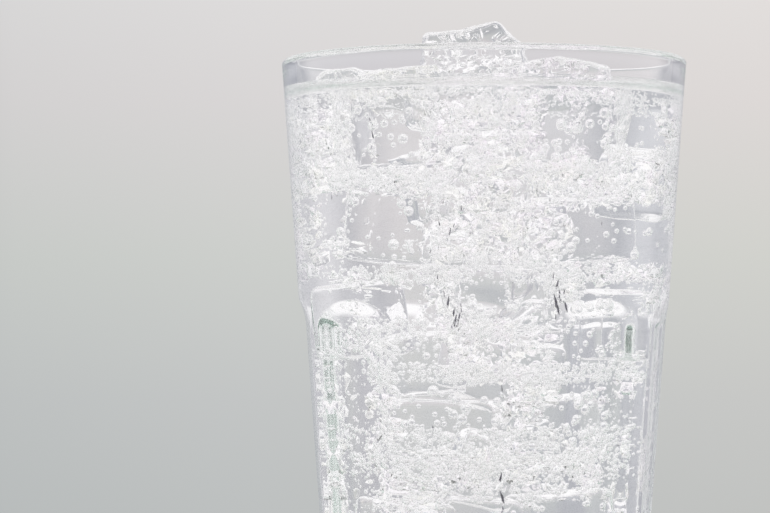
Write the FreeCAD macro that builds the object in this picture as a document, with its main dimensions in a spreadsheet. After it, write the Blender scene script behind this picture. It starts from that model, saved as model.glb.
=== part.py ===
import FreeCAD, Part
import math
import os
import Sketcher

# A tall panelled tumbler filled with club soda and ice.
# Millimetres, +Z up, front towards -Y. The origin is the middle of the base.

SIZES = {
    # tumbler
    "overall_height": 148.0,
    "rim_radius": 44.0,
    "rim_wall": 3.0,
    "rim_round": 1.4,
    "shoulder_height": 95.0,
    "band_radius": 40.2,
    "band_wall": 3.4,
    "foot_radius": 33.1,
    "heel_round": 2.4,
    "floor_height": 13.0,
    "floor_radius": 29.0,
    "floor_round": 7.0,
    # flat panels cut into the lower part, with an arched top
    "panel_count": 9.0,
    "panel_turn": -13.4,
    "panel_face_low": 31.85,
    "panel_face_high": 38.25,
    "panel_top": 88.9,
    "panel_arc_reach": 1.98,
    "panel_arc_rise": 6.9,
    "panel_arc_radius": 13.0,
    "panel_reach": 60.0,
    "panel_width": 50.0,
    # drink
    "liquid_level": 139.8,
    "meniscus_start": 37.7,
    "meniscus_width": 2.95,
    "meniscus_rise": 2.48,
    "meniscus_radius": 3.0,
    "above_rim": 150.0,
    "past_wall": 46.0,
    # ice
    "ice_taper": 7.0,
    "ice_round": 1.5,
}

# Ice that breaks the surface. Each is an outline seen from the front, from its own low left
# corner, drawn out to both sides of a middle plane and worn narrower towards its two ends.
# (label, corner x, middle plane y, corner z, depth, turn about Z, outline)
ICE = [
    ("ice_peak", -14.0, 2.0, 132.0, 19.0, 0.0,
     [(1.5, 1.0), (23.0, 0.0), (25.0, 14.0), (22.6, 19.8), (16.9, 24.9), (9.5, 22.8), (0.8, 22.3), (0.0, 15.0)]),
    ("ice_right", 1.5, -18.2, 123.0, 16.0, -4.0,
     [(4.5, 1.0), (23.5, 0.0), (25.8, 13.0), (24.4, 22.0), (15.0, 24.6), (8.5, 23.6), (0.0, 20.8), (1.0, 10.0)]),
    ("ice_front", -27.5, -18.0, 122.5, 15.0, 6.0,
     [(2.0, 0.0), (19.0, 1.5), (20.0, 12.0), (18.0, 23.6), (11.0, 22.8), (0.8, 20.8), (0.0, 10.0)]),
    ("ice_left", -38.0, 2.0, 122.0, 17.0, 3.0,
     [(3.5, 3.0), (15.0, 0.0), (20.5, 8.0), (19.5, 20.0), (9.5, 25.0), (2.6, 23.8), (0.6, 21.0), (1.0, 12.0)]),
]

document = FreeCAD.newDocument("club_soda")
sheet = document.addObject("Spreadsheet::Sheet", "sizes")


def fill_sheet(sizes):
    """One row for each size: its name, its value and the alias that the features read."""
    for row, (name, value) in enumerate(sizes.items(), start=1):
        sheet.set("A%d" % row, name)
        sheet.set("B%d" % row, str(value))
        sheet.setAlias("B%d" % row, name)
    document.recompute()


class Amount:
    """A sum of named sizes, as a number for the first drawing and as a formula for the constraint."""

    def __init__(self, *names):
        self.value = 0.0
        self.formula = ""
        for name in names:
            minus = name.startswith("-")
            name = name.lstrip("-")
            self.value += -SIZES[name] if minus else SIZES[name]
            sign = " - " if minus else " + "
            self.formula += (sign if self.formula or minus else "") + "sizes." + name


def origin_plane(body, role):
    """The body's own origin plane or axis with this role."""
    for feature in body.Origin.OriginFeatures:
        if feature.Role == role:
            return feature
    raise ValueError("no origin feature " + role)


def new_body(label):
    body = document.addObject("PartDesign::Body", label)
    body.Label = label
    return body


def new_sketch(body, label, role="XZ_Plane"):
    sketch = document.addObject("Sketcher::SketchObject", label)
    body.addObject(sketch)
    sketch.AttachmentSupport = [(origin_plane(body, role), "")]
    sketch.MapMode = "FlatFace"
    return sketch


def arc_between(start, end, radius):
    """The short arc from start to end that turns to the left, hollow side inwards."""
    middle = (start + end) * 0.5
    half = (end - start).Length / 2
    along = (end - start).normalize()
    left = FreeCAD.Vector(-along.y, along.x, 0)
    centre = middle + left * math.sqrt(radius ** 2 - half ** 2)
    circle = Part.Circle(centre, FreeCAD.Vector(0, 0, 1), radius)
    angles = [math.atan2(p.y - centre.y, p.x - centre.x) for p in (start, end)]
    return Part.ArcOfCircle(circle, angles[0], angles[1])


def draw_outline(sketch, corners, arcs=None):
    """A closed outline whose corners follow the named sizes. A corner in arcs starts an arc of that radius."""
    arcs = arcs or {}
    points = [FreeCAD.Vector(x.value if x else 0.0, y.value if y else 0.0, 0) for x, y in corners]
    count = len(points)
    for index in range(count):
        start = points[index]
        end = points[(index + 1) % count]
        if index in arcs:
            sketch.addGeometry(arc_between(start, end, arcs[index].value), False)
        else:
            sketch.addGeometry(Part.LineSegment(start, end), False)
    for index in range(count):
        following = (index + 1) % count
        sketch.addConstraint(Sketcher.Constraint("Coincident", index, 2, following, 1))
    for index, (x, y) in enumerate(corners):
        for kind, axis, amount in (("DistanceX", -2, x), ("DistanceY", -1, y)):
            if amount is None:
                sketch.addConstraint(Sketcher.Constraint("PointOnObject", index, 1, axis))
            else:
                number = sketch.addConstraint(Sketcher.Constraint(kind, -1, 1, index, 1, amount.value))
                sketch.setExpression("Constraints[%d]" % number, amount.formula)
    for index, radius in arcs.items():
        number = sketch.addConstraint(Sketcher.Constraint("Radius", index, radius.value))
        sketch.setExpression("Constraints[%d]" % number, radius.formula)


def turn_round(body, kind, sketch):
    """A full Revolution or Groove of the sketch about the upright axis."""
    feature = document.addObject("PartDesign::" + kind, body.Name + "_" + kind.lower())
    body.addObject(feature)
    feature.Profile = sketch
    feature.ReferenceAxis = (origin_plane(body, "Z_Axis"), [""])
    feature.Angle = 360.0
    document.recompute()
    return feature


def ring_edges(shape, height, radii):
    """Names of the circular edges at this height with one of these radii."""
    names = []
    for number, edge in enumerate(shape.Edges, start=1):
        curve = edge.Curve
        if not isinstance(curve, Part.Circle):
            continue
        if abs(curve.Center.z - height) < 0.01 and min(abs(curve.Radius - r) for r in radii) < 0.01:
            names.append("Edge%d" % number)
    return names


def round_edges(body, base, names, size, label):
    fillet = document.addObject("PartDesign::Fillet", label)
    body.addObject(fillet)
    fillet.Base = (base, names)
    fillet.Radius = SIZES[size]
    fillet.setExpression("Radius", "sizes." + size)
    document.recompute()
    return fillet


def cavity_corners():
    """The inside of the tumbler, from the rim down to the middle of its floor."""
    return [
        (Amount("rim_radius", "-rim_wall"), Amount("overall_height")),
        (Amount("band_radius", "-band_wall"), Amount("shoulder_height")),
        (Amount("floor_radius"), Amount("floor_height")),
        (None, Amount("floor_height")),
    ]


def make_glass():
    """The thick clear tumbler with a rounded rim and nine flat panels below its plain band."""
    body = new_body("glass")
    profile = new_sketch(body, "glass_profile")
    outside = [
        (None, None),
        (Amount("foot_radius"), None),
        (Amount("band_radius"), Amount("shoulder_height")),
        (Amount("rim_radius"), Amount("overall_height")),
    ]
    draw_outline(profile, outside + cavity_corners())
    turned = turn_round(body, "Revolution", profile)
    rim = SIZES["rim_radius"]
    names = ring_edges(turned.Shape, SIZES["overall_height"], (rim, rim - SIZES["rim_wall"]))
    rounded = round_edges(body, turned, names, "rim_round", "rim_fillet")
    names = ring_edges(rounded.Shape, SIZES["floor_height"], (SIZES["floor_radius"],))
    rounded = round_edges(body, rounded, names, "floor_round", "floor_fillet")
    names = ring_edges(rounded.Shape, 0.0, (SIZES["foot_radius"],))
    rounded = round_edges(body, rounded, names, "heel_round", "heel_fillet")

    panel = new_sketch(body, "panel_profile")
    corners = [
        (Amount("panel_face_low"), None),
        (Amount("panel_reach"), None),
        (Amount("panel_reach"), Amount("panel_top", "panel_arc_rise")),
        (Amount("panel_face_high", "panel_arc_reach"), Amount("panel_top", "panel_arc_rise")),
        (Amount("panel_face_high"), Amount("panel_top")),
    ]
    draw_outline(panel, corners, {3: Amount("panel_arc_radius")})
    whole = rounded.Shape.Volume
    pocket = document.addObject("PartDesign::Pocket", "panel")
    body.addObject(pocket)
    pocket.Profile = panel
    pocket.Midplane = True
    pocket.Length = SIZES["panel_width"]
    pocket.setExpression("Length", "sizes.panel_width")
    document.recompute()
    taken = whole - pocket.Shape.Volume
    if taken <= 1.0:
        raise ValueError("the panel cut takes nothing away")
    ring = document.addObject("PartDesign::PolarPattern", "panel_ring")
    body.addObject(ring)
    ring.Originals = [pocket]
    ring.Axis = (origin_plane(body, "Z_Axis"), [""])
    ring.Angle = 360.0
    ring.setExpression("Occurrences", "sizes.panel_count")
    body.Tip = ring
    document.recompute()
    if whole - ring.Shape.Volume < taken * (SIZES["panel_count"] - 0.5):
        raise ValueError("the ring of panels is not complete")
    body.Placement = FreeCAD.Placement(
        FreeCAD.Vector(0, 0, 0), FreeCAD.Rotation(FreeCAD.Vector(0, 0, 1), SIZES["panel_turn"])
    )
    body.setExpression("Placement.Rotation.Angle", "sizes.panel_turn")
    return body


def make_ice(label, corner_x, middle_y, corner_z, depth, turn, outline):
    """One worn lump of clear ice with slightly rounded edges."""
    body = new_body(label)
    sketch = new_sketch(body, label + "_outline")
    points = [FreeCAD.Vector(x, y, 0) for x, y in outline]
    count = len(points)
    for index in range(count):
        sketch.addGeometry(Part.LineSegment(points[index], points[(index + 1) % count]), False)
    for index in range(count):
        sketch.addConstraint(Sketcher.Constraint("Coincident", index, 2, (index + 1) % count, 1))
    pad = document.addObject("PartDesign::Pad", label + "_pad")
    body.addObject(pad)
    pad.Profile = sketch
    pad.SideType = "Two sides"
    pad.Length = depth / 2
    pad.Length2 = depth / 2
    pad.setExpression("TaperAngle", "-sizes.ice_taper")
    pad.setExpression("TaperAngle2", "-sizes.ice_taper")
    document.recompute()
    names = ["Edge%d" % number for number in range(1, len(pad.Shape.Edges) + 1)]
    round_edges(body, pad, names, "ice_round", label + "_worn")
    body.Placement = FreeCAD.Placement(
        FreeCAD.Vector(corner_x, middle_y, corner_z), FreeCAD.Rotation(FreeCAD.Vector(0, 0, 1), turn)
    )
    document.recompute()
    return body


def make_soda(ice):
    """The drink: the tumbler's inside up to the level, risen at the wall, less the ice that stands in it."""
    body = new_body("soda_fill")
    profile = new_sketch(body, "soda_profile")
    draw_outline(profile, cavity_corners() + [(None, Amount("overall_height"))])
    turned = turn_round(body, "Revolution", profile)
    names = ring_edges(turned.Shape, SIZES["floor_height"], (SIZES["floor_radius"],))
    rounded = round_edges(body, turned, names, "floor_round", "soda_floor_fillet")
    above = new_sketch(body, "soda_level")
    corners = [
        (None, Amount("liquid_level")),
        (Amount("meniscus_start"), Amount("liquid_level")),
        (Amount("meniscus_start", "meniscus_width"), Amount("liquid_level", "meniscus_rise")),
        (Amount("past_wall"), Amount("liquid_level", "meniscus_rise")),
        (Amount("past_wall"), Amount("above_rim")),
        (None, Amount("above_rim")),
    ]
    draw_outline(above, corners, {1: Amount("meniscus_radius")})
    groove = turn_round(body, "Groove", above)
    if rounded.Shape.Volume - groove.Shape.Volume < 1000.0:
        raise ValueError("the space above the drink is not open")
    lumps = document.addObject("Part::Compound", "ice_lumps")
    lumps.Links = ice
    soda = document.addObject("Part::Cut", "soda")
    soda.Label = "soda"
    soda.Base = body
    soda.Tool = lumps
    document.recompute()
    return soda


def check_document():
    """Stops if a feature failed or made no sound shape."""
    for item in document.Objects:
        if "Invalid" in item.State or "Error" in item.State:
            raise ValueError("feature failed: " + item.Name)
        shape = getattr(item, "Shape", None)
        if shape is not None and item.isDerivedFrom("Part::Feature"):
            if shape.isNull() or not (shape.isValid() or item.isDerivedFrom("Sketcher::SketchObject")):
                raise ValueError("shape not sound: " + item.Name)


fill_sheet(SIZES)
glass = make_glass()
lumps_of_ice = [make_ice(*row) for row in ICE]
soda = make_soda(lumps_of_ice)
document.recompute()
check_document()

os.makedirs("parts", exist_ok=True)
for node in [glass, soda] + lumps_of_ice:
    node.Shape.exportStep("parts/%s.step" % node.Label)
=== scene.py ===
import math

import bmesh
import bpy
import numpy as np
from mathutils import Euler, Matrix, Vector, noise


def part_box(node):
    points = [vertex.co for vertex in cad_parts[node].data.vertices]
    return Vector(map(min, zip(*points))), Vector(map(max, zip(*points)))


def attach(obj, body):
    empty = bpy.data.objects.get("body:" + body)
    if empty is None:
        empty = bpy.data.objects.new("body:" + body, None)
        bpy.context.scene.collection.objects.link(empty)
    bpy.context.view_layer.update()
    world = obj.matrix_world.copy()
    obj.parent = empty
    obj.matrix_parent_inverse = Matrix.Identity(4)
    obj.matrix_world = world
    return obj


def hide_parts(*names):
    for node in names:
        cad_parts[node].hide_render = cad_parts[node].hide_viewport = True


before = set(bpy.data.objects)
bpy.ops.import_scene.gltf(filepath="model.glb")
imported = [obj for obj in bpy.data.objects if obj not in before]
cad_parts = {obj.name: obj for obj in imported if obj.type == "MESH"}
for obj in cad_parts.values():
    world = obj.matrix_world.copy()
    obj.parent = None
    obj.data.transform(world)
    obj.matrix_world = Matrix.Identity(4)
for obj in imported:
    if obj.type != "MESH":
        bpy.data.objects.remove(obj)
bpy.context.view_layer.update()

MM = 0.001
UP = Vector((0, 0, 1))

# Tumbler, in millimetres, as the CAD solids have it.
OVERALL_HEIGHT = 148.0
RIM_RADIUS = 44.0
RIM_WALL = 3.0
RIM_ROUND = 1.4
SHOULDER_HEIGHT = 95.0
BAND_RADIUS = 40.2
BAND_WALL = 3.4
FOOT_RADIUS = 33.1
HEEL_ROUND = 2.4
FLOOR_HEIGHT = 13.0
FLOOR_RADIUS = 29.0
FLOOR_ROUND = 7.0
FLOOR_CORNER = 0.62
PANELS = 9
PANEL_TURN = -13.4
PANEL_FACE_LOW = 31.85
PANEL_FACE_HIGH = 38.25
PANEL_TOP = 88.9
PANEL_ARC_RADIUS = 13.0
EDGE_SOFTNESS = 0.5
STEPS_ROUND = 360

# Drink: its level, the rim of liquid that climbs the wall, how far it reaches into the glass, and how much
# smaller than the ice the holes are that are cut for it.
LIQUID_LEVEL = 139.8
MENISCUS_START = 37.7
MENISCUS_RADIUS = 3.0
MENISCUS_RISE = 2.25
INTO_WALL = 0.12
SMALLER_CUT = 0.06

# Lumps that stand out of the drink, one CAD node each.
STANDING = ("peak", "right", "front", "left")

# How many of the sunken lumps face the front.
FACING = 13

# How round the corners of a sunken lump are, and how finely its faces are gridded.
LUMP_ROUND = 2.2
LUMP_CUTS = 13

# How many of each kind are strewn, at most.
SPLINTERS = 2100
SPLINTER_SHAPES = 12
CRACKS_TRIED = 640
FROTH_IN_GAPS = 5200
FROTH_AT_SURFACE = 1500
BEADS = 2400
BUBBLES_BEHIND = 160

# How many of the round bubbles are large enough to need a finer ball.
LARGEST_BUBBLES = 90

# Camera: height of the eye above the base, and its distance from the axis and from the front wall.
EYE_HEIGHT = 105.2
EYE_TO_AXIS = 504.0
EYE_TO_WALL = 467
LENS = 107.9
TURNED_LEFT = 2.44

# How much smaller a thing on the front wall is than what it hides on the upright plane through the axis.
NEARER = 0.93

# How the drink bends what is seen through the front: soda water against air, and the round band as a lens.
SODA_IOR = 1.333
INSIDE_RADIUS = 38.0
ROUND_GAIN = 0.00625
ROUND_FROM = 86
PANEL_UPTO = 92
PANEL_REACH = 36.0
PANEL_HALF = 22
PANEL_GAIN = 1.07

# Flanks of the faceted foot, in degrees from the front, that stay nearly free of froth up to the shoulder.
FLANK = (60, 104)
FLANK_TOP = 91

# Studio, as parts of a unit direction: where the grey backdrop ends at its sides, top, foot and towards the
# camera, how far its low wings reach, and where it falls into shade.
BACKDROP_SIDE = (0.48, 0.58)
BACKDROP_TOP = (0.14, 0.24)
BACKDROP_FOOT = (-0.26, -0.34)
BACKDROP_FRONT = (0.5, 0.3)
WING_SIDE = (0.78, 0.9)
WING_RISE = (0.1, 0.18)
SHADE_SIDE = (0.2, 0.32)
SHADE_FOOT = (-0.12, -0.24)
SHADE_LIFT = (-0.04, 0.04)
SHADE_WING = (0.32, 0.46)
BACKDROP_RISE = (-0.12, 0.12)
BACKDROP_DRIFT = (-0.2, 0.12)

# How bright the white studio round the backdrop is, and how the backdrop dims for the light in the glass.
STUDIO_STRENGTH = 1.065
THROUGH_GLASS = "#EFEFF4"

# Table top: its radius and where it begins and ends to fade out, in metres, and its gap under the base.
TABLE_RADIUS = 0.42
TABLE_FADE = (0.2, 0.41)
TABLE_DROP = 0.5

# Light meets up to this many faces on its way through froth, cracks and thick glass.
BOUNCES = 128
SEE_THROUGH_BOUNCES = 32


# ---------------------------------------------------------------- shared helpers

def linear(hex_colour):
    """An sRGB hex colour as linear red, green, blue and alpha."""
    channels = [int(hex_colour[i:i + 2], 16) / 255 for i in (1, 3, 5)]
    return [c / 12.92 if c <= 0.04045 else ((c + 0.055) / 1.055) ** 2.4 for c in channels] + [1.0]


def add(tree, kind, settings=None, links=None):
    """A new node. settings are its properties or input values, links feed its inputs from other sockets."""
    node = tree.nodes.new(kind)
    for name, value in (settings or {}).items():
        if isinstance(name, int) or name in node.inputs:
            node.inputs[name].default_value = value
        else:
            setattr(node, name, value)
    for name, socket in (links or {}).items():
        tree.links.new(socket, node.inputs[name])
    return node


def new_material(name):
    """A material with an empty node tree and its output node."""
    material = bpy.data.materials.new(name)
    material.use_nodes = True
    tree = material.node_tree
    tree.nodes.clear()
    return material, tree, add(tree, "ShaderNodeOutputMaterial")


def finished_piece(name, bm, materials, replaced=()):
    """Turns a bmesh into a smooth piece that rides with the part and carries the given materials."""
    mesh = bpy.data.meshes.new(name)
    bm.to_mesh(mesh)
    bm.free()
    return dressed_piece(name, mesh, materials, replaced)


def dressed_piece(name, mesh, materials, replaced=()):
    """Makes a mesh one of the part's pieces, in place of the CAD nodes named in replaced."""
    mesh.shade_smooth()
    for material in materials:
        mesh.materials.append(material)
    piece = bpy.data.objects.new(name, mesh)
    bpy.context.collection.objects.link(piece)
    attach(piece, "root")
    if replaced:
        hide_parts(*replaced)
    return piece


# ---------------------------------------------------------------- shape of the tumbler

def cone_radius(height):
    """Outer radius of the plain tumbler, without its panels."""
    if height >= SHOULDER_HEIGHT:
        share = (height - SHOULDER_HEIGHT) / (OVERALL_HEIGHT - SHOULDER_HEIGHT)
        return BAND_RADIUS + (RIM_RADIUS - BAND_RADIUS) * share
    return FOOT_RADIUS + (BAND_RADIUS - FOOT_RADIUS) * height / SHOULDER_HEIGHT


def cavity_radius(height, foot=FLOOR_RADIUS):
    """Radius of the tumbler's inside at one height or at many, above the rounded corner of its floor."""
    return np.interp(height, [FLOOR_HEIGHT, SHOULDER_HEIGHT, OVERALL_HEIGHT],
                     [foot, BAND_RADIUS - BAND_WALL, RIM_RADIUS - RIM_WALL])


def panel_reach(height):
    """Distance of a flat panel from the axis, or of the hollow arc that ends it at the top."""
    if height <= PANEL_TOP:
        return PANEL_FACE_LOW + (PANEL_FACE_HIGH - PANEL_FACE_LOW) * height / PANEL_TOP
    rise = min((height - PANEL_TOP) / PANEL_ARC_RADIUS, 1.0)
    return PANEL_FACE_HIGH + PANEL_ARC_RADIUS * (1 - math.sqrt(1 - rise * rise))


def outer_radius(angle, height, cone):
    """Outer radius in the direction of angle, with the edges between panel and rib slightly rounded."""
    step = 2 * math.pi / PANELS
    from_middle = (angle - math.radians(PANEL_TURN) + step / 2) % step - step / 2
    flat = panel_reach(height) / math.cos(from_middle)
    blend = max(EDGE_SOFTNESS - abs(cone - flat), 0.0) / EDGE_SOFTNESS
    return min(cone, flat) - blend * blend * EDGE_SOFTNESS / 4


def arc_points(centre, radius, start, end, count):
    """Points of an arc in the plane of radius and height, from start to end degrees."""
    angles = np.radians(np.linspace(start, end, count))
    return [(centre[0] + radius * math.cos(a), centre[1] + radius * math.sin(a)) for a in angles]


def spun(bm, profile):
    """Spins a profile of (radius, height) in millimetres round the upright axis."""
    verts = [bm.verts.new((radius * MM, 0, height * MM)) for radius, height in profile]
    edges = [bm.edges.new(pair) for pair in zip(verts, verts[1:])]
    bmesh.ops.spin(bm, geom=verts + edges, cent=(0, 0, 0), axis=UP, dvec=(0, 0, 0),
                   angle=2 * math.pi, steps=STEPS_ROUND, use_merge=True, use_duplicate=False)
    bmesh.ops.remove_doubles(bm, verts=bm.verts, dist=1e-6)
    bmesh.ops.recalc_face_normals(bm, faces=bm.faces)


def make_tumbler(material):
    """Thick pressed tumbler: rounded rim, plain band, nine flat panels with hollow arched tops."""
    rim_top = OVERALL_HEIGHT - RIM_ROUND
    heights = list(np.linspace(HEEL_ROUND, 84, 16)) + list(np.linspace(85.5, 98, 34))
    heights += list(np.linspace(101, rim_top, 12))
    heel = arc_points((FOOT_RADIUS - HEEL_ROUND, HEEL_ROUND), HEEL_ROUND, -90, -12, 7)
    outside = heel + [(cone_radius(z), z) for z in heights[1:]]
    rim = arc_points((RIM_RADIUS - RIM_ROUND, rim_top), RIM_ROUND, 8, 90, 6)
    rim += arc_points((RIM_RADIUS - RIM_WALL + RIM_ROUND, rim_top), RIM_ROUND, 90, 176, 6)
    inner_heights = np.linspace(rim_top - 0.6, FLOOR_HEIGHT + FLOOR_ROUND * 0.95, 30)
    inside = [(cavity_radius(z), z) for z in inner_heights]
    corner = (FLOOR_RADIUS - FLOOR_ROUND + FLOOR_CORNER, FLOOR_HEIGHT + FLOOR_ROUND)
    inside += arc_points(corner, FLOOR_ROUND, -8, -90, 10)
    base = [(0, 0), (FOOT_RADIUS * 0.5, 0)]
    floor = [(12, FLOOR_HEIGHT), (0, FLOOR_HEIGHT)]
    bm = bmesh.new()
    spun(bm, base + outside + rim + inside + floor)

    # The panels press only the outside in, so the vertices of the inside stay.
    for vert in bm.verts:
        height = vert.co.z / MM
        radius = vert.co.xy.length / MM
        if height < SHOULDER_HEIGHT + 4 and radius > cavity_radius(height) + 0.7:
            angle = math.atan2(vert.co.y, vert.co.x)
            vert.co.xy *= outer_radius(angle, height, radius) / radius
    return finished_piece("tumbler", bm, [material], ["glass"])


# ---------------------------------------------------------------- ice

def layer_ice():
    """Sunken lumps, packed in layers that lean on the wall: angle from the front towards the right,
    distance of the outer face from the axis, middle height, width, depth and height, and three small tilts.
    The first FACING of them have their clear faces to the front."""
    lumps = [
        (-33, 36.0, 112.2, 20, 17, 17, (0, 6, 0)),
        (41, 36.0, 111.0, 18, 16, 14, (0, -3, 4)),
        (4, 29.5, 118.5, 15, 14, 15, (8, 12, 0)),
        (6, 34.6, 97.3, 18, 15, 12.5, (0, 2, 0)),
        (-24, 33.5, 83.5, 12, 14, 13, (4, -5, 3)),
        (34, 34.0, 88.5, 12.5, 15, 16, (0, 3, 0)),
        (64, 33.2, 91.0, 12, 13, 15, (0, 5, 0)),
        (-62, 33.6, 92.0, 16, 15, 16, (5, -4, 0)),
        (-16, 31.7, 69.5, 21, 15, 13, (0, 1, 0)),
        (35, 31.9, 70.0, 13, 14, 13, (3, -4, 0)),
        (-1, 29.8, 48.5, 17, 15, 14, (0, 3, 0)),
        (43, 29.4, 49.0, 18, 14, 15, (0, -4, 0)),
        (-44, 29.6, 47.0, 16, 14, 15, (0, 5, 0)),
    ]
    generator = np.random.default_rng(31)
    layers = (
        (122, (78, 112, 150, 188, 226, 262)),
        (102, (100, 140, 182, 222, 258)),
        (82, (96, 134, 172, 210, 250)),
        (62, (88, 130, 170, 212, 254)),
        (40, (96, 140, 186, 232)),
        (30, (10, 58, -50)),
    )
    for height, angles in layers:
        for angle in angles:
            tilt = tuple(generator.uniform(-9, 9, 3))
            size = generator.uniform(14.0, 17.0, 3)
            reach = cavity_radius(height) - generator.uniform(1.6, 3.2)
            lump = (angle, reach, height + generator.uniform(-1.5, 1.5), size[0], size[1], size[2], tilt)
            middle = np.array(lump_matrix(lump).translation)[None, :] / MM
            if clear_of_windows(middle, np.array([5.0]))[0]:
                lumps.append(lump)
    for height in (104, 82, 60, 38):
        angle = generator.uniform(0, 360)
        lumps.append((angle, 8.0, height, 15, 15, 15, tuple(generator.uniform(-25, 25, 3))))
    return lumps


def lump_matrix(lump):
    """Place and turn of a sunken lump."""
    angle, reach, height, _, depth, _, tilt = lump
    turn = math.radians(angle)
    middle = reach - depth / 2
    place = Matrix.Translation(Vector((math.sin(turn) * middle, -math.cos(turn) * middle, height)) * MM)
    tilted = Euler([math.radians(t) for t in tilt]).to_matrix().to_4x4()
    return place @ Matrix.Rotation(turn, 4, "Z") @ tilted


def melted(bm, roundness, seed, waviness):
    """Wears a gridded box round its middle: rounds its edges and makes its faces wavy."""
    half = Vector([max(v.co[i] for v in bm.verts) for i in range(3)])
    offset = Vector((seed * 7.3, seed * 3.1, seed * 5.7))
    for vert in bm.verts:
        point = vert.co.copy()
        core = Vector([max(-half[i] + roundness, min(half[i] - roundness, point[i])) for i in range(3)])
        outward = (point - core).normalized()
        wave = noise.noise(point / (6.0 * MM) + offset) * waviness * MM
        ripple = noise.noise(point / (2.2 * MM) + offset) * 0.3 * waviness * MM
        vert.co = core + outward * (roundness + wave + ripple)


def make_sunken_ice(name, lumps, material, waviness):
    """One joined piece of rounded, slightly wavy lumps."""
    joined = bmesh.new()
    for number, lump in enumerate(lumps):
        bm = bmesh.new()
        bmesh.ops.create_cube(bm, size=1.0, matrix=Matrix.Diagonal(Vector(lump[3:6]) * MM).to_4x4())
        bmesh.ops.subdivide_edges(bm, edges=bm.edges, cuts=LUMP_CUTS, use_grid_fill=True)
        melted(bm, LUMP_ROUND * MM, number, waviness)
        bmesh.ops.transform(bm, matrix=lump_matrix(lump), verts=bm.verts)
        one = bpy.data.meshes.new("one_lump")
        bm.to_mesh(one)
        bm.free()
        joined.from_mesh(one)
        bpy.data.meshes.remove(one)
    return finished_piece(name, joined, [material])


def evenly_meshed(source, name):
    """A copy of a CAD solid's mesh in even small faces."""
    bm = bmesh.new()
    bm.from_mesh(source.data)
    bmesh.ops.remove_doubles(bm, verts=bm.verts, dist=1e-6)
    mesh = bpy.data.meshes.new(name + "_even")
    bm.to_mesh(mesh)
    bm.free()
    helper = bpy.data.objects.new(name + "_even", mesh)
    bpy.context.collection.objects.link(helper)
    remesh = helper.modifiers.new("even", "REMESH")
    remesh.mode = "VOXEL"
    remesh.voxel_size = 0.45 * MM
    even = bpy.data.meshes.new_from_object(helper.evaluated_get(bpy.context.evaluated_depsgraph_get()))
    bpy.data.objects.remove(helper)
    return even


def make_surface_ice(node, name, dry, wet, seed):
    """A lump that stands out of the drink: the CAD solid, worn wavy, and cut at the drink's level, where its
    look changes."""
    bm = bmesh.new()
    bm.from_mesh(evenly_meshed(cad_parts[node], name))
    bmesh.ops.smooth_vert(bm, verts=bm.verts, factor=0.5, use_axis_x=True, use_axis_y=True, use_axis_z=True)
    bm.normal_update()
    offset = Vector((seed * 9.1, seed * 2.3, seed * 4.9))
    moves = []
    for vert in bm.verts:
        wave = noise.noise(vert.co / (5.0 * MM) + offset) * 0.5
        ripple = noise.noise(vert.co / (1.8 * MM) + offset) * 0.22
        moves.append(vert.normal * ((wave + ripple) * MM))
    for vert, move in zip(bm.verts, moves):
        vert.co += move
    level = LIQUID_LEVEL * MM
    bmesh.ops.bisect_plane(bm, geom=bm.verts[:] + bm.edges[:] + bm.faces[:], dist=1e-7,
                           plane_co=(0, 0, level), plane_no=UP)
    for face in bm.faces:
        face.material_index = 0 if face.calc_center_median().z > level else 1
    return finished_piece(name, bm, [dry, wet], [node])


# ---------------------------------------------------------------- drink

def cut_by(piece, lump, materials):
    """Cuts a piece by a very slightly smaller copy of a lump. The cut faces take the second material."""
    cutter = lump.copy()
    cutter.data = lump.data.copy()
    bpy.context.collection.objects.link(cutter)
    cutter.data.materials.clear()
    for material in materials:
        cutter.data.materials.append(material)
    for polygon in cutter.data.polygons:
        polygon.material_index = 1
    for vertex, normal in zip(cutter.data.vertices, cutter.data.vertex_normals):
        vertex.co -= normal.vector * SMALLER_CUT * MM
    cut = piece.modifiers.new("hole", "BOOLEAN")
    cut.operation = "DIFFERENCE"
    cut.solver = "EXACT"
    cut.object = cutter
    mesh = bpy.data.meshes.new_from_object(piece.evaluated_get(bpy.context.evaluated_depsgraph_get()))
    piece.modifiers.clear()
    piece.data = mesh
    bpy.data.objects.remove(cutter)


def make_soda(material, through_ice, lumps):
    """The drink, reaching just into the wall, with holes at the level where ice stands through it."""
    floor = FLOOR_HEIGHT - INTO_WALL
    corner = (FLOOR_RADIUS - FLOOR_ROUND + FLOOR_CORNER + INTO_WALL, FLOOR_HEIGHT + FLOOR_ROUND - INTO_WALL)
    contact = LIQUID_LEVEL + MENISCUS_RISE
    wall_heights = np.linspace(FLOOR_HEIGHT + FLOOR_ROUND, contact, 40)
    profile = [(0, floor), (12, floor)]
    profile += arc_points(corner, FLOOR_ROUND, -90, -8, 8)
    profile += [(cavity_radius(z) + INTO_WALL, z) for z in wall_heights]
    profile += arc_points((MENISCUS_START, LIQUID_LEVEL + MENISCUS_RADIUS), MENISCUS_RADIUS, -14, -90, 9)
    profile += [(r, LIQUID_LEVEL) for r in (30, 20, 10, 0)]
    bm = bmesh.new()
    spun(bm, profile)
    piece = finished_piece("soda_water", bm, [material, through_ice], ["soda"])
    for lump in lumps:
        cut_by(piece, lump, [material, through_ice])
    piece.data.set_sharp_from_angle(angle=math.radians(50))


# ---------------------------------------------------------------- where strewn things may lie

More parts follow.
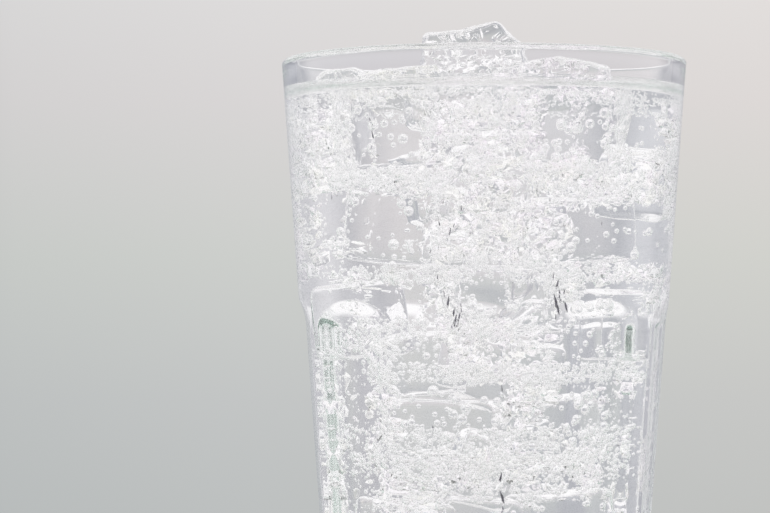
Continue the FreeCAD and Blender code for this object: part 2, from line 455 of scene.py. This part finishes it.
# Clear faces of ice that press against the front of the glass, as (left, foot, right, top) in millimetres
# on the upright plane through the axis, where the eye seems to see them. Nothing is strewn behind them.
WINDOWS = [
    (-29.0, 126.0, -23.5, 140.5), (-22.0, 125.5, -13.5, 140.5), (13.0, 128.0, 18.0, 140.0),
    (22.0, 127.0, 25.4, 140.0), (29.8, 130.3, 35.2, 136.8),
    (-33.0, 110.5, -29.5, 119.0), (-27.0, 106.5, -18.5, 118.5), (-31.0, 103.4, -12.0, 105.6),
    (-17.0, 109.5, -12.5, 116.0), (17.8, 105.0, 27.0, 115.4), (29.0, 104.8, 38.5, 116.4),
    (-5.1, 94.5, 4.0, 103.5), (6.0, 96.0, 12.5, 102.0), (-30.0, 92.5, -14.0, 98.5),
    (-18.2, 78.2, -11.7, 91.3), (17.8, 79.3, 27.0, 95.7), (-18.2, 65.1, -8.4, 77.2),
    (-8.4, 65.1, 3.6, 77.2), (16.7, 65.1, 26.5, 77.2), (-9.5, 40.0, 8.0, 53.1), (14.6, 40.0, 34.2, 53.1),
]

# Sides of the faceted foot, and hollow arches of the shoulder, through which hardly any froth shows.
CLEAR_SIDES = [
    (-42.0, 17.0, -33.6, 96.0), (-30.4, 17.0, -27.6, 84.0), (30.8, 17.0, 42.0, 92.0),
    (-42.0, 91.0, -30.0, 100.0), (22.0, 91.5, 33.0, 99.0),
]

# Slim splinters tinted dark, painted shade in place of the dark surroundings they would show: across, up,
# length.
PAINTED_SHADE_ACCENTS = [
    (-8.2, 97.0, 1.8), (-7.4, 95.6, 2.4), (-6.4, 93.8, 3.0), (-5.3, 92.2, 2.6), (-5.6, 90.6, 1.6),
    (-6.8, 90.0, 1.2), (15.4, 99.0, 2.4), (16.0, 96.6, 3.2), (15.6, 93.9, 2.8), (15.0, 92.2, 1.4),
    (16.9, 97.6, 1.4), (-23.7, 134.8, 2.2), (-23.3, 132.0, 2.0), (-23.6, 129.4, 1.3), (4.3, 52.4, 3.4),
    (4.4, 49.2, 3.0), (-9.2, 112.4, 1.3), (-7.0, 110.6, 1.8), (-6.2, 112.0, 1.2), (-4.6, 115.8, 1.4),
    (-11.2, 106.4, 1.2), (20.3, 134.4, 1.6), (13.9, 117.6, 1.1), (11.2, 119.8, 1.2), (37.5, 128.4, 1.1),
    (-32.0, 118.6, 1.4), (4.2, 76.4, 1.7), (-11.0, 67.6, 1.3), (-18.6, 121.4, 1.2), (24.8, 112.6, 1.0),
    (-6.1, 91.4, 3.6), (-4.7, 94.4, 2.4), (-9.6, 100.6, 1.8), (15.2, 95.2, 3.8), (17.2, 94.6, 2.6),
    (14.6, 101.0, 1.6), (3.9, 56.8, 2.4), (4.6, 46.0, 2.2),
]

# Level bands of froth between the layers of ice: the same four bounds, and how many bubbles.
BANDS = [
    (-29.0, 55.8, 31.0, 67.4, 1500), (-24.0, 77.6, 34.0, 81.8, 700), (-28.0, 99.5, 30.0, 103.2, 400),
    (-29.0, 84.0, -12.0, 92.0, 350), (-32.0, 120.6, -6.0, 124.6, 250),
]

# Groups of round bubbles that cling to the wall in front: the same four bounds, and how many.
CLUSTERS = [
    (-29.0, 123.0, -13.0, 141.0, 38), (-14.0, 121.0, 13.0, 141.5, 95), (13.0, 122.0, 26.0, 141.0, 48),
    (27.0, 122.0, 38.0, 140.0, 20), (-38.0, 121.0, -28.0, 140.0, 22), (-33.0, 103.0, -11.5, 121.0, 30),
    (-11.0, 104.0, 17.0, 121.0, 22), (17.5, 104.0, 39.0, 117.0, 18), (-6.0, 92.5, 14.0, 104.5, 20),
    (-24.0, 78.0, -11.0, 92.0, 22), (17.0, 79.0, 28.0, 96.0, 30), (-19.0, 64.5, 4.0, 78.0, 58),
    (16.0, 64.5, 27.0, 78.0, 40), (-10.0, 40.0, 35.0, 53.5, 40),
]


def seen_from_front(points):
    """Where points in the drink seem to be, drawn on the plane through the axis: once through the round band,
    and once through each flat panel that faces the front, as (across, up, whether that view holds)."""
    depth = points[:, 1] + np.sqrt(np.maximum(INSIDE_RADIUS ** 2 - points[:, 0] ** 2, 0))
    depth = np.clip(depth, 0, 80)
    up = EYE_HEIGHT + (points[:, 2] - EYE_HEIGHT) * EYE_TO_AXIS / (EYE_TO_WALL + depth / SODA_IOR)
    across = points[:, 0] / (1 - ROUND_GAIN * depth) * EYE_TO_AXIS / (EYE_TO_WALL + depth)
    views = [(across, up, points[:, 2] > ROUND_FROM)]
    for step in (-3, -2, -1):
        panel = PANEL_TURN + 90 + step * 360 / PANELS
        turn = math.radians(panel)
        lean = math.tan(turn - math.asin(math.sin(turn) / SODA_IOR))
        entry = points[:, 0] + lean * depth
        angle = np.degrees(np.arcsin(np.clip(entry / PANEL_REACH, -1, 1)))
        through_panel = (points[:, 2] < PANEL_UPTO) & (np.abs(angle - panel) < PANEL_HALF)
        views.append((entry * PANEL_GAIN, up, through_panel))
    return views


def clear_of_windows(points, sizes, sparing=0):
    """Which points, with their sizes, leave every window and the flanks of the faceted foot free. In the
    flanks, one in every sparing points may stay."""
    aside = np.degrees(np.arctan2(np.abs(points[:, 0]), -points[:, 1]))
    free = (aside < FLANK[0]) | (aside > FLANK[1]) | (points[:, 2] > FLANK_TOP)
    if sparing:
        free |= np.arange(len(points)) % sparing == 0
    for across, up, holds in seen_from_front(points):
        for left, foot, right, top in WINDOWS + CLEAR_SIDES:
            level = (across > left - sizes) & (across < right + sizes)
            upright = (up > foot - sizes) & (up < top + sizes)
            free &= ~(level & upright & holds)
    return free


def on_wall(across, up, gap):
    """A place in front of the axis, gap millimetres behind the wall, that hides a point of the plane through
    the axis. It is None where the wall doesn't reach."""
    height = EYE_HEIGHT + (up - EYE_HEIGHT) * NEARER
    side = across * NEARER
    reach = cavity_radius(height) - gap
    return (side, -math.sqrt(reach * reach - side * side), height) if abs(side) < reach else None


def behind_wall(generator, bounds, count, depth_most):
    """Random places just behind the front wall, within bounds on the plane through the axis."""
    left, foot, right, top = bounds[:4]
    up = EYE_HEIGHT + (generator.uniform(foot, top, count) - EYE_HEIGHT) * NEARER
    side = generator.uniform(left, right, count) * NEARER
    limit = cavity_radius(up)
    reach = limit - 0.7 - depth_most * generator.uniform(0, 1, count) ** 1.3
    reach = np.maximum(reach, np.abs(side) + 0.1)
    points = np.stack([side, -np.sqrt(reach ** 2 - side ** 2), up], axis=1)
    return points[reach < limit - 0.6]


def wall_points(generator, count, depth_power, depth_most, low, high, gather=1.3):
    """Random places in the drink that gather near the wall, and towards the front."""
    side = generator.uniform(-1, 1, count)
    angle = math.pi * np.sign(side) * np.abs(side) ** gather
    height = generator.uniform(low, high, count)
    depth = depth_most * generator.uniform(0, 1, count) ** depth_power
    radius = cavity_radius(height) - 0.3 - depth
    return np.stack([np.sin(angle) * radius, -np.cos(angle) * radius, height], axis=1)


def in_drink(points, radii):
    """Which bubbles lie wholly inside the drink, clear of the rounded corner of its floor."""
    heights = points[:, 2]
    limit = cavity_radius(heights, foot=FLOOR_RADIUS - 2)
    in_wall = np.hypot(points[:, 0], points[:, 1]) + radii < limit - 0.12
    return in_wall & (heights + radii < LIQUID_LEVEL - 0.15) & (heights - radii > FLOOR_HEIGHT + 1)


class LumpField:
    """Tells how far points lie inside or outside the lumps of ice."""

    def __init__(self, lumps, boxes):
        self.frames = []
        for lump in lumps:
            matrix = lump_matrix(lump)
            self.frames.append((np.array(matrix.inverted()), np.array(lump[3:6]) / 2))
        for low, high in boxes:
            middle = (low + high) / 2
            matrix = Matrix.Translation(Vector(middle) * MM)
            self.frames.append((np.array(matrix.inverted()), (high - low) / 2 * 0.96))

    def distance(self, points):
        """Distance in millimetres to the nearest lump, below zero inside it."""
        nearest = np.full(len(points), 1e3)
        for inverse, half in self.frames:
            local = points @ inverse[:3, :3].T + inverse[:3, 3] / MM
            beyond = np.abs(local) - half
            outside = np.linalg.norm(np.maximum(beyond, 0), axis=1)
            inside = np.minimum(beyond.max(axis=1), 0)
            nearest = np.minimum(nearest, outside + inside)
        return nearest


# ---------------------------------------------------------------- strewn shapes

def bare_shape(bm):
    """Vertices and triangles of a bmesh, which is freed."""
    bm.verts.index_update()
    verts = np.array([v.co[:] for v in bm.verts])
    faces = np.array([[v.index for v in f.verts] for f in bm.faces])
    bm.free()
    return verts, faces


def ball(subdivisions):
    """One small round bubble."""
    bm = bmesh.new()
    bmesh.ops.create_icosphere(bm, subdivisions=subdivisions, radius=1.0)
    return bare_shape(bm)


def chip(generator, flatness):
    """One splinter with flat faces: the hull of eleven random points."""
    bm = bmesh.new()
    for point in generator.normal(size=(11, 3)):
        bm.verts.new(point / np.linalg.norm(point) * (1, 0.75, flatness))
    hull = bmesh.ops.convex_hull(bm, input=bm.verts)
    loose = [v for v in hull["geom_interior"] if isinstance(v, bmesh.types.BMVert)]
    bmesh.ops.delete(bm, geom=loose, context="VERTS")
    bmesh.ops.triangulate(bm, faces=bm.faces)
    bmesh.ops.recalc_face_normals(bm, faces=bm.faces)
    return bare_shape(bm)


def random_turns(generator, count):
    """Turns in every direction, as matrices."""
    turns = np.linalg.qr(generator.normal(size=(count, 3, 3)))[0]
    return turns * np.sign(np.linalg.det(turns))[:, None, None]


def strewn_piece(name, kinds, materials, smooth=True):
    """One joined piece. Each kind is (vertices, triangles, centres in millimetres, a matrix of size and turn
    for each centre); the kinds take the materials in turn."""
    all_points, all_corners, all_looks, first = [], [], [], 0
    for number, (verts, faces, centres, turns) in enumerate(kinds):
        points = np.einsum("nij,vj->nvi", turns, verts) + centres[:, None, :]
        corners = faces[None, :, :] + (np.arange(len(centres)) * len(verts))[:, None, None] + first
        first += len(centres) * len(verts)
        all_points.append(points.reshape(-1))
        all_corners.append(corners.reshape(-1))
        all_looks.append(np.full(len(centres) * len(faces), number % len(materials), dtype=np.int32))
    points = np.concatenate(all_points) * MM
    corners = np.concatenate(all_corners).astype(np.int32)
    mesh = bpy.data.meshes.new(name)
    mesh.vertices.add(len(points) // 3)
    mesh.vertices.foreach_set("co", points)
    mesh.loops.add(len(corners))
    mesh.loops.foreach_set("vertex_index", corners)
    mesh.polygons.add(len(corners) // 3)
    mesh.polygons.foreach_set("loop_start", np.arange(0, len(corners), 3, dtype=np.int32))
    mesh.update(calc_edges=True)
    dressed_piece(name, mesh, materials)
    mesh.polygons.foreach_set("material_index", np.concatenate(all_looks))
    if not smooth:
        mesh.shade_flat()


def round_bubbles(name, centres, radii, subdivisions, material):
    """One joined piece of round bubbles."""
    verts, faces = ball(subdivisions)
    strewn_piece(name, [(verts, faces, centres, np.eye(3) * radii[:, None, None])], [material])


# ---------------------------------------------------------------- broken ice in the drink

def strew_splinters(generator, field, materials):
    """Broken splinters of cloudy ice, packed wherever no clear face looks in."""
    points = wall_points(generator, 9000, 0.9, 15.0, 16, LIQUID_LEVEL - 3)
    sizes = generator.uniform(1.0, 2.9, len(points))
    keep = in_drink(points, sizes) & clear_of_windows(points, sizes * 0.8) & (field.distance(points) > -2.0)
    points, sizes = points[keep][:SPLINTERS], sizes[keep][:SPLINTERS]
    kinds = []
    for number in range(SPLINTER_SHAPES):
        verts, faces = chip(generator, generator.uniform(0.25, 0.6))
        centres, scale = points[number::SPLINTER_SHAPES], sizes[number::SPLINTER_SHAPES]
        kinds.append((verts, faces, centres, random_turns(generator, len(centres)) * scale[:, None, None]))
    strewn_piece("ice_splinters", kinds, materials, smooth=False)


def strew_cracks(generator, materials, standing):
    """Flat cracks inside the lumps that stand out of the drink."""
    kinds = []
    for piece in standing:
        low, high = np.array(piece.bound_box[0]) / MM, np.array(piece.bound_box[6]) / MM
        centres, turns = [], []
        for point in generator.uniform(low, high, (CRACKS_TRIED, 3)):
            size = generator.uniform(0.5, 1.8)
            found, near, normal, _ = piece.closest_point_on_mesh(Vector(point) * MM)
            inside = (near / MM - Vector(point)).dot(normal)
            in_view = not clear_of_windows(point[None, :], np.array([size * 0.3]))[0]
            sunken = point[2] <= LIQUID_LEVEL - 1.5
            if found and inside > size * 0.6 and not (in_view and sunken):
                centres.append(point)
                turns.append(random_turns(generator, 1)[0] * size)
        verts, faces = chip(generator, 0.11)
        kinds.append((verts, faces, np.array(centres), np.array(turns)))
    strewn_piece("ice_cracks", kinds, materials, smooth=False)


def strew_slivers(generator, material):
    """A few slim upright splinters with a dark tint: painted shade, in place of the dark room they would
    show.
    """
    thickness = 0.3
    verts, faces = chip(generator, thickness)
    centres, turns = [], []
    for across, up, length in PAINTED_SHADE_ACCENTS:
        centres.append(on_wall(across, up, 1.6))
        lean = Euler((generator.uniform(-0.3, 0.3), generator.uniform(-0.35, 0.35), generator.uniform(0, 3)))
        slim = np.diag((0.2, 0.24, 1.0 / thickness))
        turns.append(np.array(lean.to_matrix()) @ slim * length * 0.5)
    kind = (verts, faces, np.array(centres), np.array(turns))
    strewn_piece("painted_shade_ice_slivers", [kind], [material], smooth=False)


# ---------------------------------------------------------------- gas in the drink

def strew_froth(generator, field, material):
    """Froth of very small bubbles in the gaps between the lumps, along the surface and in level bands."""
    points = wall_points(generator, 60000, 1.3, 8.0, 15, LIQUID_LEVEL - 1)
    radii = generator.uniform(0.18, 0.4, len(points))
    keep = (field.distance(points) > 0.1) & in_drink(points, radii) & clear_of_windows(points, radii, 5)
    points, radii = points[keep][:FROTH_IN_GAPS], radii[keep][:FROTH_IN_GAPS]
    edge = wall_points(generator, FROTH_AT_SURFACE, 1.0, 8.0, LIQUID_LEVEL - 1.9, LIQUID_LEVEL - 0.4, 1.0)
    edge_radii = generator.uniform(0.14, 0.3, len(edge))
    keep = in_drink(edge, edge_radii)
    band = np.concatenate([behind_wall(generator, bounds, bounds[4], 3.2) for bounds in BANDS])
    band_radii = 0.2 + 0.42 * generator.uniform(0, 1, len(band)) ** 2
    round_bubbles("bubbles_fine", np.concatenate([points, edge[keep], band]),
                  np.concatenate([radii, edge_radii[keep], band_radii]), 1, material)


def strew_beads(generator, field, material):
    """Beads on the skin of the ice and on the wall."""
    points = wall_points(generator, 26000, 1.8, 2.6, 15, LIQUID_LEVEL - 1, 1.8)
    radii = 0.3 + 0.4 * generator.uniform(0, 1, len(points)) ** 1.5
    away = field.distance(points)
    keep = (away > -0.1) & (away < 2.8) & in_drink(points, radii) & clear_of_windows(points, radii, 4)
    round_bubbles("bubbles_small", points[keep][:BEADS], radii[keep][:BEADS], 2, material)


def strew_round_bubbles(generator, material):
    """Larger round bubbles that cling to the wall, most of them in groups in front."""
    centres, radii = [], []
    for left, foot, right, top, count in CLUSTERS:
        for across, up, share in generator.uniform((left, foot, 0), (right, top, 1), (count, 3)):
            radius = 0.45 + 0.75 * share ** 1.8
            place = on_wall(across, up, radius + 0.22)
            if place and place[2] + radius < LIQUID_LEVEL - 0.2:
                centres.append(place)
                radii.append(radius)
    points = wall_points(generator, 700, 3.0, 1.6, 18, LIQUID_LEVEL - 2)
    sizes = generator.uniform(0.45, 0.95, len(points))
    behind = (np.abs(points[:, 0]) > 26) | (points[:, 1] > 0)
    keep = in_drink(points, sizes) & behind
    points = np.concatenate([np.array(centres), points[keep][:BUBBLES_BEHIND]])
    radii = np.concatenate([np.array(radii), sizes[keep][:BUBBLES_BEHIND]])
    largest = radii > np.sort(radii)[-LARGEST_BUBBLES]
    round_bubbles("bubbles_large", points[~largest], radii[~largest], 2, material)
    round_bubbles("bubbles_largest", points[largest], radii[largest], 3, material)


# ---------------------------------------------------------------- materials

def clear_material(name, ior, tint="#FFFFFF", ripple=None, absorbed=None):
    """A see-through material. ripple is (pattern size, depth) in millimetres, absorbed is (colour, density
    a metre)."""
    material, tree, output = new_material(name)
    shader = add(tree, "ShaderNodeBsdfGlass", {"Color": linear(tint), "Roughness": 0.0, "IOR": ior})
    tree.links.new(shader.outputs["BSDF"], output.inputs["Surface"])
    if ripple:
        place = add(tree, "ShaderNodeTexCoord")
        waves = add(tree, "ShaderNodeTexNoise", {"Scale": 1 / (ripple[0] * MM), "Detail": 2.0},
                    {"Vector": place.outputs["Object"]})
        bump = add(tree, "ShaderNodeBump", {"Strength": 1.0, "Distance": ripple[1] * MM},
                   {"Height": waves.outputs["Fac"]})
        tree.links.new(bump.outputs["Normal"], shader.inputs["Normal"])
    if absorbed:
        body = add(tree, "ShaderNodeVolumeAbsorption", {"Color": linear(absorbed[0]), "Density": absorbed[1]})
        tree.links.new(body.outputs["Volume"], output.inputs["Volume"])
    return material


# ---------------------------------------------------------------- studio

def make_world():
    """A soft white studio with one grey backdrop behind the glass, paler towards its top, darker at its sides
    and foot, and with low wings that give the edges of the glass a grey line."""
    world = bpy.data.worlds.new("soft_studio")
    bpy.context.scene.world = world
    world.use_nodes = True
    tree = world.node_tree
    tree.nodes.clear()
    place = add(tree, "ShaderNodeTexCoord")
    axes = add(tree, "ShaderNodeSeparateXYZ", links={"Vector": place.outputs["Generated"]})
    across = add(tree, "ShaderNodeMath", {"operation": "ABSOLUTE"}, {0: axes.outputs["X"]})
    upright = add(tree, "ShaderNodeMath", {"operation": "ABSOLUTE"}, {0: axes.outputs["Z"]})
    ray = add(tree, "ShaderNodeLightPath")

    # Grey of the backdrop, from its foot to its top.
    rise = add(tree, "ShaderNodeMapRange", {"From Min": BACKDROP_RISE[0], "From Max": BACKDROP_RISE[1]},
               {"Value": axes.outputs["Z"]})
    grey = add(tree, "ShaderNodeValToRGB", links={"Fac": rise.outputs["Result"]})
    ramp = grey.color_ramp
    ramp.elements[0].color = linear("#C0C4C3")
    ramp.elements[1].color = linear("#E3E2E1")
    for position, colour in ((0.24, "#C7CAC9"), (0.5, "#D1D4D0"), (0.78, "#DDDBDA")):
        ramp.elements.new(position).color = linear(colour)

    # How far a direction is past the backdrop's edges, where the white studio begins.
    past_wing = add(tree, "ShaderNodeMapRange", {"From Min": WING_RISE[0], "From Max": WING_RISE[1]},
                    {"Value": upright.outputs["Value"]})
    past_side = add(tree, "ShaderNodeMapRange", {"From Min": BACKDROP_SIDE[0], "From Max": BACKDROP_SIDE[1]},
                    {"Value": across.outputs["Value"]})
    above_wing = add(tree, "ShaderNodeMath", {"operation": "MULTIPLY"},
                     {0: past_wing.outputs["Result"], 1: past_side.outputs["Result"]})
    edges = (
        (above_wing.outputs["Value"], (0.0, 1.0)),
        (across.outputs["Value"], WING_SIDE),
        (axes.outputs["Y"], BACKDROP_FRONT),
        (axes.outputs["Z"], BACKDROP_TOP),
        (axes.outputs["Z"], BACKDROP_FOOT),
    )
    share = None
    for socket, (start, end) in edges:
        edge = add(tree, "ShaderNodeMapRange", {"interpolation_type": "SMOOTHSTEP", "From Min": start,
                                                "From Max": end}, {"Value": socket})
        past = edge.outputs["Result"]
        if share is None:
            share = past
        else:
            larger = add(tree, "ShaderNodeMath", {"operation": "MAXIMUM"}, {0: share, 1: past})
            share = larger.outputs["Value"]

    # Shade at the backdrop's sides and foot, lighter on the upper part of the wings.
    outward = add(tree, "ShaderNodeMapRange", {"From Min": SHADE_SIDE[0], "From Max": SHADE_SIDE[1]},
                  {"Value": across.outputs["Value"]})
    below = add(tree, "ShaderNodeMapRange", {"From Min": SHADE_FOOT[0], "From Max": SHADE_FOOT[1]},
                {"Value": axes.outputs["Z"]})
    shade = add(tree, "ShaderNodeMath", {"operation": "MAXIMUM"},
                {0: outward.outputs["Result"], 1: below.outputs["Result"]})
    lift = add(tree, "ShaderNodeMapRange", {"From Min": SHADE_LIFT[0], "From Max": SHADE_LIFT[1]},
               {"Value": axes.outputs["Z"]})
    wing = add(tree, "ShaderNodeMapRange", {"From Min": SHADE_WING[0], "From Max": SHADE_WING[1]},
               {"Value": across.outputs["Value"]})
    upper_wing = add(tree, "ShaderNodeMath", {"operation": "MULTIPLY"},
                     {0: lift.outputs["Result"], 1: wing.outputs["Result"]})
    dusk = add(tree, "ShaderNodeMix", {"data_type": "RGBA", 6: linear("#B9BBBF"), 7: linear("#DCDDDF")},
               {0: upper_wing.outputs["Value"]})
    shaded = add(tree, "ShaderNodeMix", {"data_type": "RGBA"},
                 {0: shade.outputs["Value"], 6: grey.outputs["Color"], 7: dusk.outputs[2]})

    # The backdrop warms and brightens slightly from left to right.
    along = add(tree, "ShaderNodeMapRange", {"From Min": BACKDROP_DRIFT[0], "From Max": BACKDROP_DRIFT[1]},
                {"Value": axes.outputs["X"]})
    drift = add(tree, "ShaderNodeValToRGB", links={"Fac": along.outputs["Result"]})
    drift.color_ramp.elements[0].color = linear("#F4F4F5")
    drift.color_ramp.elements[1].color = linear("#FFFCFB")
    drift.color_ramp.elements.new(0.32).color = linear("#FAF9FA")
    drifted = add(tree, "ShaderNodeMix", {"data_type": "RGBA", "blend_type": "MULTIPLY", 0: 1.0},
                  {6: shaded.outputs[2], 7: drift.outputs["Color"]})

    # Behind the glass it is a little dimmer and cooler than where the camera sees it bare.
    dimmer = add(tree, "ShaderNodeMix", {"data_type": "RGBA", 6: linear(THROUGH_GLASS), 7: linear("#FFFFFF")},
                 {0: ray.outputs["Is Camera Ray"]})
    dimmed = add(tree, "ShaderNodeMix", {"data_type": "RGBA", "blend_type": "MULTIPLY", 0: 1.0},
                 {6: drifted.outputs[2], 7: dimmer.outputs[2]})
    backdrop = add(tree, "ShaderNodeBackground", {"Strength": 1.0}, {"Color": dimmed.outputs[2]})
    glow = add(tree, "ShaderNodeMapRange", {"To Min": STUDIO_STRENGTH, "To Max": 1.0},
               {"Value": ray.outputs["Is Camera Ray"]})
    white = add(tree, "ShaderNodeBackground", {"Color": linear("#FBF9FB")},
                {"Strength": glow.outputs["Result"]})
    mixed = add(tree, "ShaderNodeMixShader", links={"Fac": share, 1: backdrop.outputs["Background"],
                                                    2: white.outputs["Background"]})
    add(tree, "ShaderNodeOutputWorld", links={"Surface": mixed.outputs["Shader"]})


def make_floor():
    """A pale round table top that fades out into the studio."""
    bm = bmesh.new()
    bmesh.ops.create_circle(bm, cap_ends=True, segments=96, radius=TABLE_RADIUS)
    mesh = bpy.data.meshes.new("table_top")
    bm.to_mesh(mesh)
    bm.free()
    floor = bpy.data.objects.new("table_top", mesh)
    floor.location.z = -TABLE_DROP * MM
    bpy.context.collection.objects.link(floor)

    # Matt laminate: it shows a soft shadow and no gloss.
    material, tree, output = new_material("matt_pale_laminate")
    place = add(tree, "ShaderNodeTexCoord")
    far = add(tree, "ShaderNodeVectorMath", {"operation": "LENGTH"}, {0: place.outputs["Object"]})
    fade = add(tree, "ShaderNodeMapRange",
               {"From Min": TABLE_FADE[0], "From Max": TABLE_FADE[1], "interpolation_type": "SMOOTHSTEP"},
               {"Value": far.outputs["Value"]})
    matt = add(tree, "ShaderNodeBsdfDiffuse", {"Color": linear("#F2F2F1")})
    clear = add(tree, "ShaderNodeBsdfTransparent")
    mixed = add(tree, "ShaderNodeMixShader", links={"Fac": fade.outputs["Result"], 1: matt.outputs["BSDF"],
                                                    2: clear.outputs["BSDF"]})
    tree.links.new(mixed.outputs["Shader"], output.inputs["Surface"])
    mesh.materials.append(material)


def make_camera():
    """Level camera a little above the middle of the glass, turned slightly to its left."""
    camera = bpy.data.cameras.new("camera")
    camera.sensor_width = 36.0
    camera.lens = LENS
    camera.clip_start = 0.01
    holder = bpy.data.objects.new("camera", camera)
    holder.location = (0, -EYE_TO_AXIS * MM, EYE_HEIGHT * MM)
    holder.rotation_euler = (math.radians(90), 0, math.radians(TURNED_LEFT))
    bpy.context.collection.objects.link(holder)
    bpy.context.scene.camera = holder


# ---------------------------------------------------------------- build

# Pressed soda-lime glass, fire-polished: mirror-clear faces with the slow ripple that a mould leaves, and a
# faint green that shows only where the eye looks along a rib, the rim or the foot.
glass = clear_material("pressed_soda_lime_glass", 1.52, absorbed=("#7FB8A0", 4.2), ripple=(14.0, 0.02))

# Soda water: colourless, and a strong lens wherever its wall is round. Where standing ice hides its surface,
# it doesn't bend light, so that the ice alone is seen there.
soda = clear_material("still_soda_water", SODA_IOR)
through_ice = clear_material("soda_behind_ice", 1.0)

# Clear ice with a wet, melting skin: in air it glints like water.
ice_dry = clear_material("wet_ice_in_air", 1.31)

# Clear ice in the drink: its edges hardly show, as ice and water bend light nearly alike. These materials sit
# in the soda, so their IOR is the ratio to soda's: 0.98 for ice, drawn lower so that the edges do show.
ice_wet = clear_material("clear_ice_in_soda", 0.95)
ice_slab = clear_material("dense_clear_ice_in_soda", 0.96)

# Splintered ice: films of gas in its cracks throw back white sparks, so it is nearer a bubble's 0.75 than
# ice's 0.98. Its tints are faint, as each path of light crosses many splinters.
splintered = [
    clear_material("splintered_ice_white", 0.8),
    clear_material("splintered_ice_lilac", 0.8, tint="#FFFEFF"),
    clear_material("splintered_ice_warm", 0.8, tint="#FFFFFE"),
]
# Slivers of ice tinted dark grey-violet: painted shade, in place of the dark surroundings they would show.
painted_shade_sliver = clear_material("sliver_of_ice_painted_shade", 0.8, tint="#8B8994")

# Gas in soda: 1 over 1.333 is 0.75. Each bubble is a bright ring round a clear middle. The larger ones are
# drawn at 0.82, for which their ring is as thin as it is on real ones with a clean skin.
gas = clear_material("gas_bubble_in_soda", 0.82)
froth = clear_material("fine_gas_froth_in_soda", 0.75)

make_tumbler(glass)
lumps = layer_ice()
standing = [make_surface_ice("ice_" + side, "standing_ice_" + side, ice_dry, ice_wet, number)
            for number, side in enumerate(STANDING)]
make_soda(soda, through_ice, standing)
make_sunken_ice("ice_slabs", lumps[:FACING], ice_slab, 0.22)
make_sunken_ice("ice_sunken", lumps[FACING:], ice_wet, 0.5)

boxes = [tuple(np.array(corner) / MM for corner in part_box("ice_" + side)) for side in STANDING]
field = LumpField(lumps, boxes)
broken = np.random.default_rng(11)
strew_splinters(broken, field, splintered)
strew_cracks(broken, splintered, standing)
strew_slivers(np.random.default_rng(3), painted_shade_sliver)
bubbling = np.random.default_rng(7)
strew_froth(bubbling, field, froth)
strew_beads(bubbling, field, gas)
strew_round_bubbles(bubbling, gas)

make_world()
make_floor()
make_camera()

scene = bpy.context.scene
scene.view_settings.view_transform = "Standard"
scene.cycles.max_bounces = BOUNCES
scene.cycles.transmission_bounces = BOUNCES
scene.cycles.glossy_bounces = BOUNCES
scene.cycles.transparent_max_bounces = SEE_THROUGH_BOUNCES
